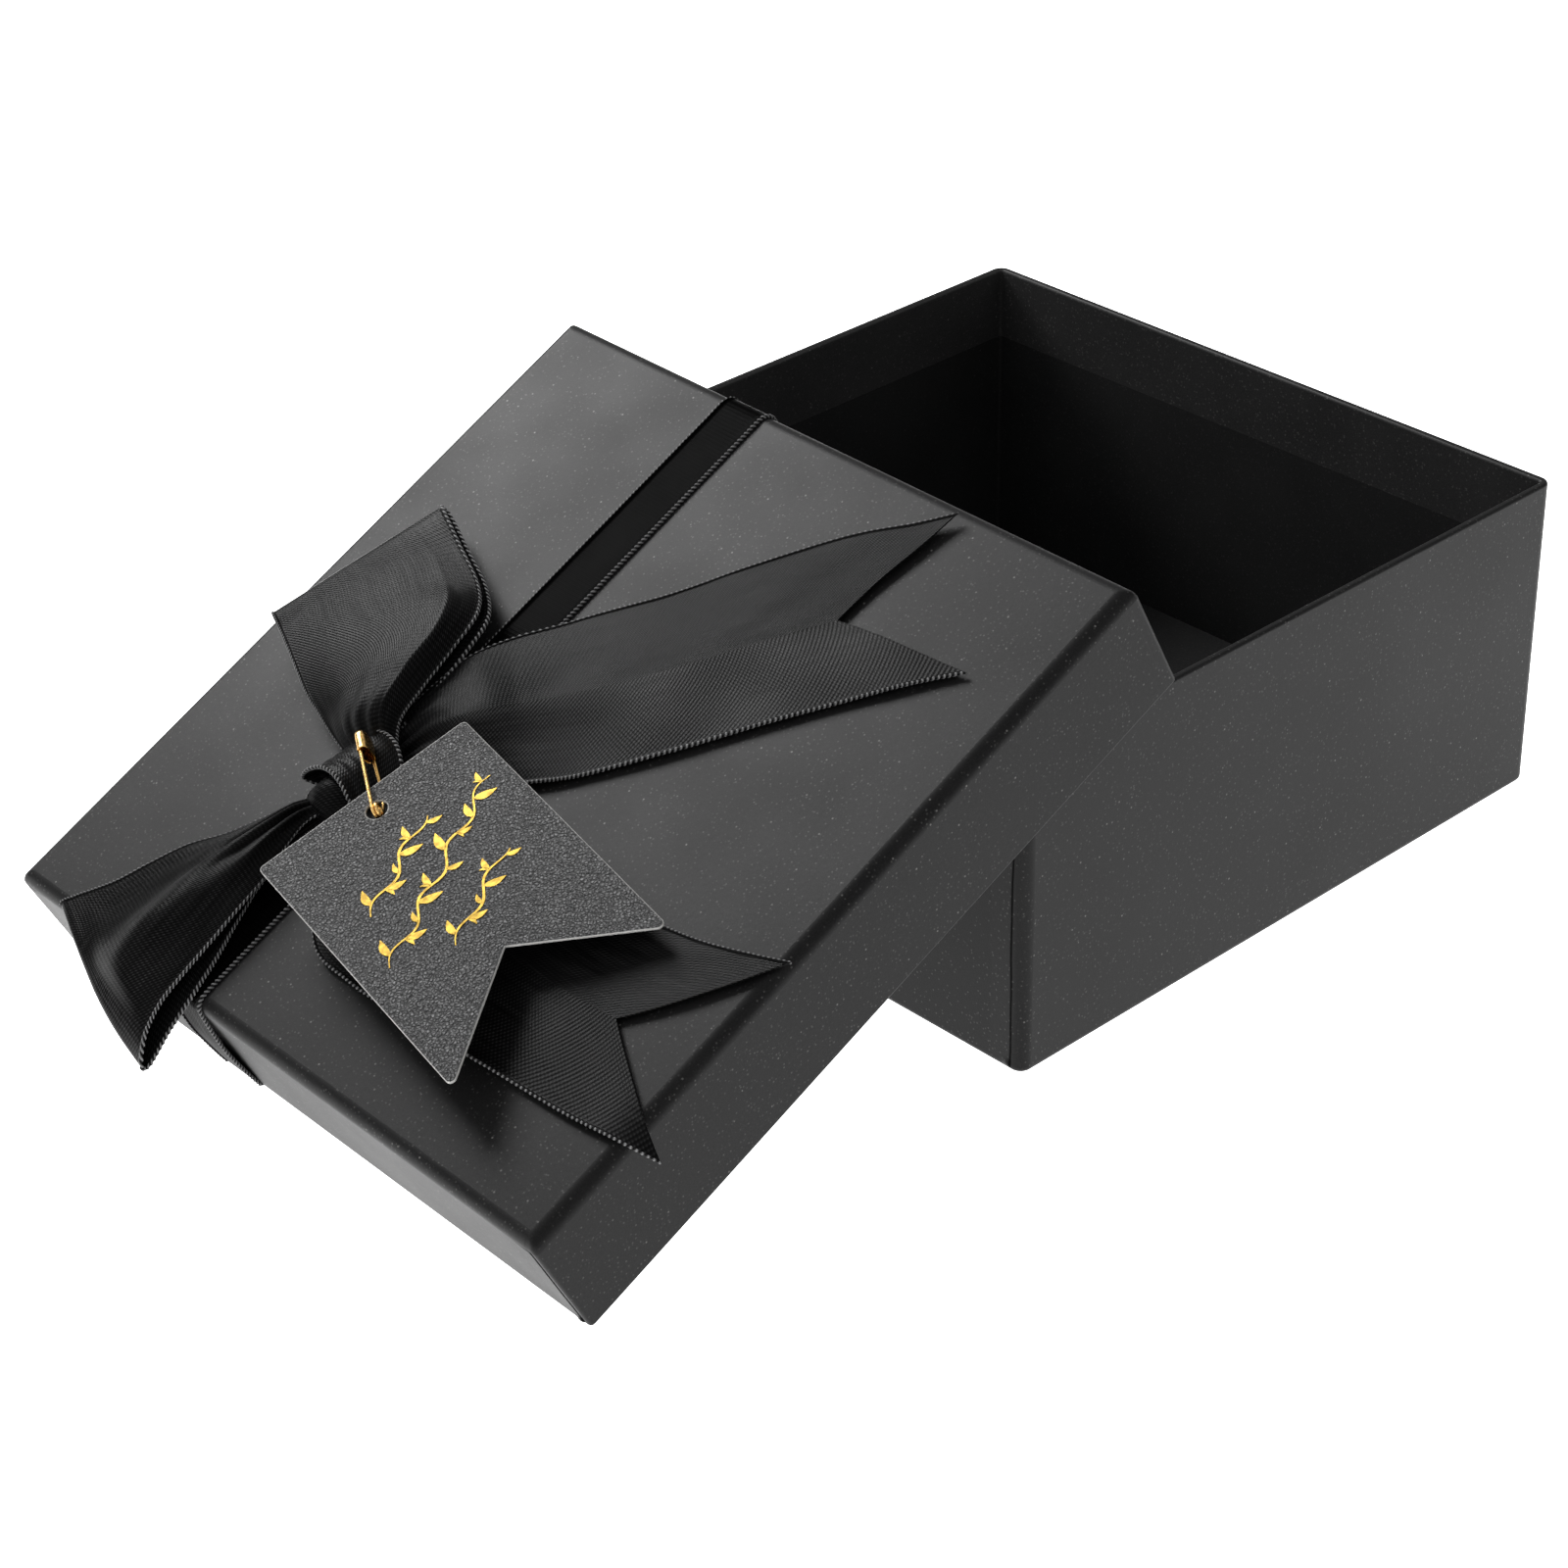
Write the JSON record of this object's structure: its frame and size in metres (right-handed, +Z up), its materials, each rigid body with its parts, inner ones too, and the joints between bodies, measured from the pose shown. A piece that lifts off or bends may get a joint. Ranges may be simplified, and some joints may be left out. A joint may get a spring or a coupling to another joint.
{
  "type": "jewelry gift box",
  "caption": "Square rigid paper-covered gift box with a deep lift-off lid leaning on it, ribbon bow, swallowtail gift tag and safety pin.",
  "frame": {"origin": "middle of the base tray's underside, on the surface it stands on", "axes": "+Z up, +X from the base's front corner along its front-right wall, +Y from that corner along its front-left wall; the lid leans on the -X side"},
  "size_m": [0.2937, 0.1735, 0.1019],
  "materials": {
    "greyboard": "matte",
    "wrap_paper": "matte pearl",
    "lining_paper": "matte",
    "stay_paper": "matte",
    "ribbon_satin": "satin",
    "tag_leatherette": "grained",
    "gold_wire": "bright"
  },
  "bodies": {
    "base": {"base_bottom_board": "greyboard", "base_wall_front_left": "greyboard", "base_wall_front_right": "greyboard", "base_wall_rear_left": "greyboard", "base_wall_rear_right": "greyboard", "base_corner_stay_1": "stay_paper", "base_corner_stay_2": "stay_paper", "base_corner_stay_3": "stay_paper", "base_corner_stay_4": "stay_paper", "base_wrap": "wrap_paper", "base_liner": "lining_paper", "base_floor_paper": "lining_paper", "base_bottom_sheet": "wrap_paper"},
    "lid": {"lid_top_board": "greyboard", "lid_wall_low": "greyboard", "lid_wall_high": "greyboard", "lid_wall_left": "greyboard", "lid_wall_right": "greyboard", "lid_corner_stay_1": "stay_paper", "lid_corner_stay_2": "stay_paper", "lid_corner_stay_3": "stay_paper", "lid_corner_stay_4": "stay_paper", "lid_wrap": "wrap_paper", "lid_liner": "lining_paper", "lid_ceiling_paper": "lining_paper", "ribbon_band": "ribbon_satin", "bow_loop_upper": "ribbon_satin", "bow_loop_lower": "ribbon_satin", "bow_tail_right": "ribbon_satin", "bow_tail_front": "ribbon_satin", "bow_knot": "ribbon_satin", "pin_needle": "gold_wire"},
    "pin_clasp": {"pin_back": "gold_wire", "pin_cap": "gold_wire"},
    "tag": {"tag": "tag_leatherette"}
  },
  "joints": [
    {"name": "lid_lift", "type": "slide", "parent": "base", "child": "lid", "axis": [0, 0, 1], "range_m": [0, 0.12]},
    {"name": "pin_open", "type": "hinge", "parent": "lid", "child": "pin_clasp", "pos_m": [-0.16096, 0.01309, 0.05604], "axis": [0.7117, -0.5599, 0.4242], "range_deg": [0, 30]},
    {"name": "tag_swing", "type": "hinge", "parent": "lid", "child": "tag", "pos_m": [-0.16096, 0.01309, 0.05604], "axis": [-0.9068, 0.194, -0.3743], "range_deg": [0, 20]}
  ]
}
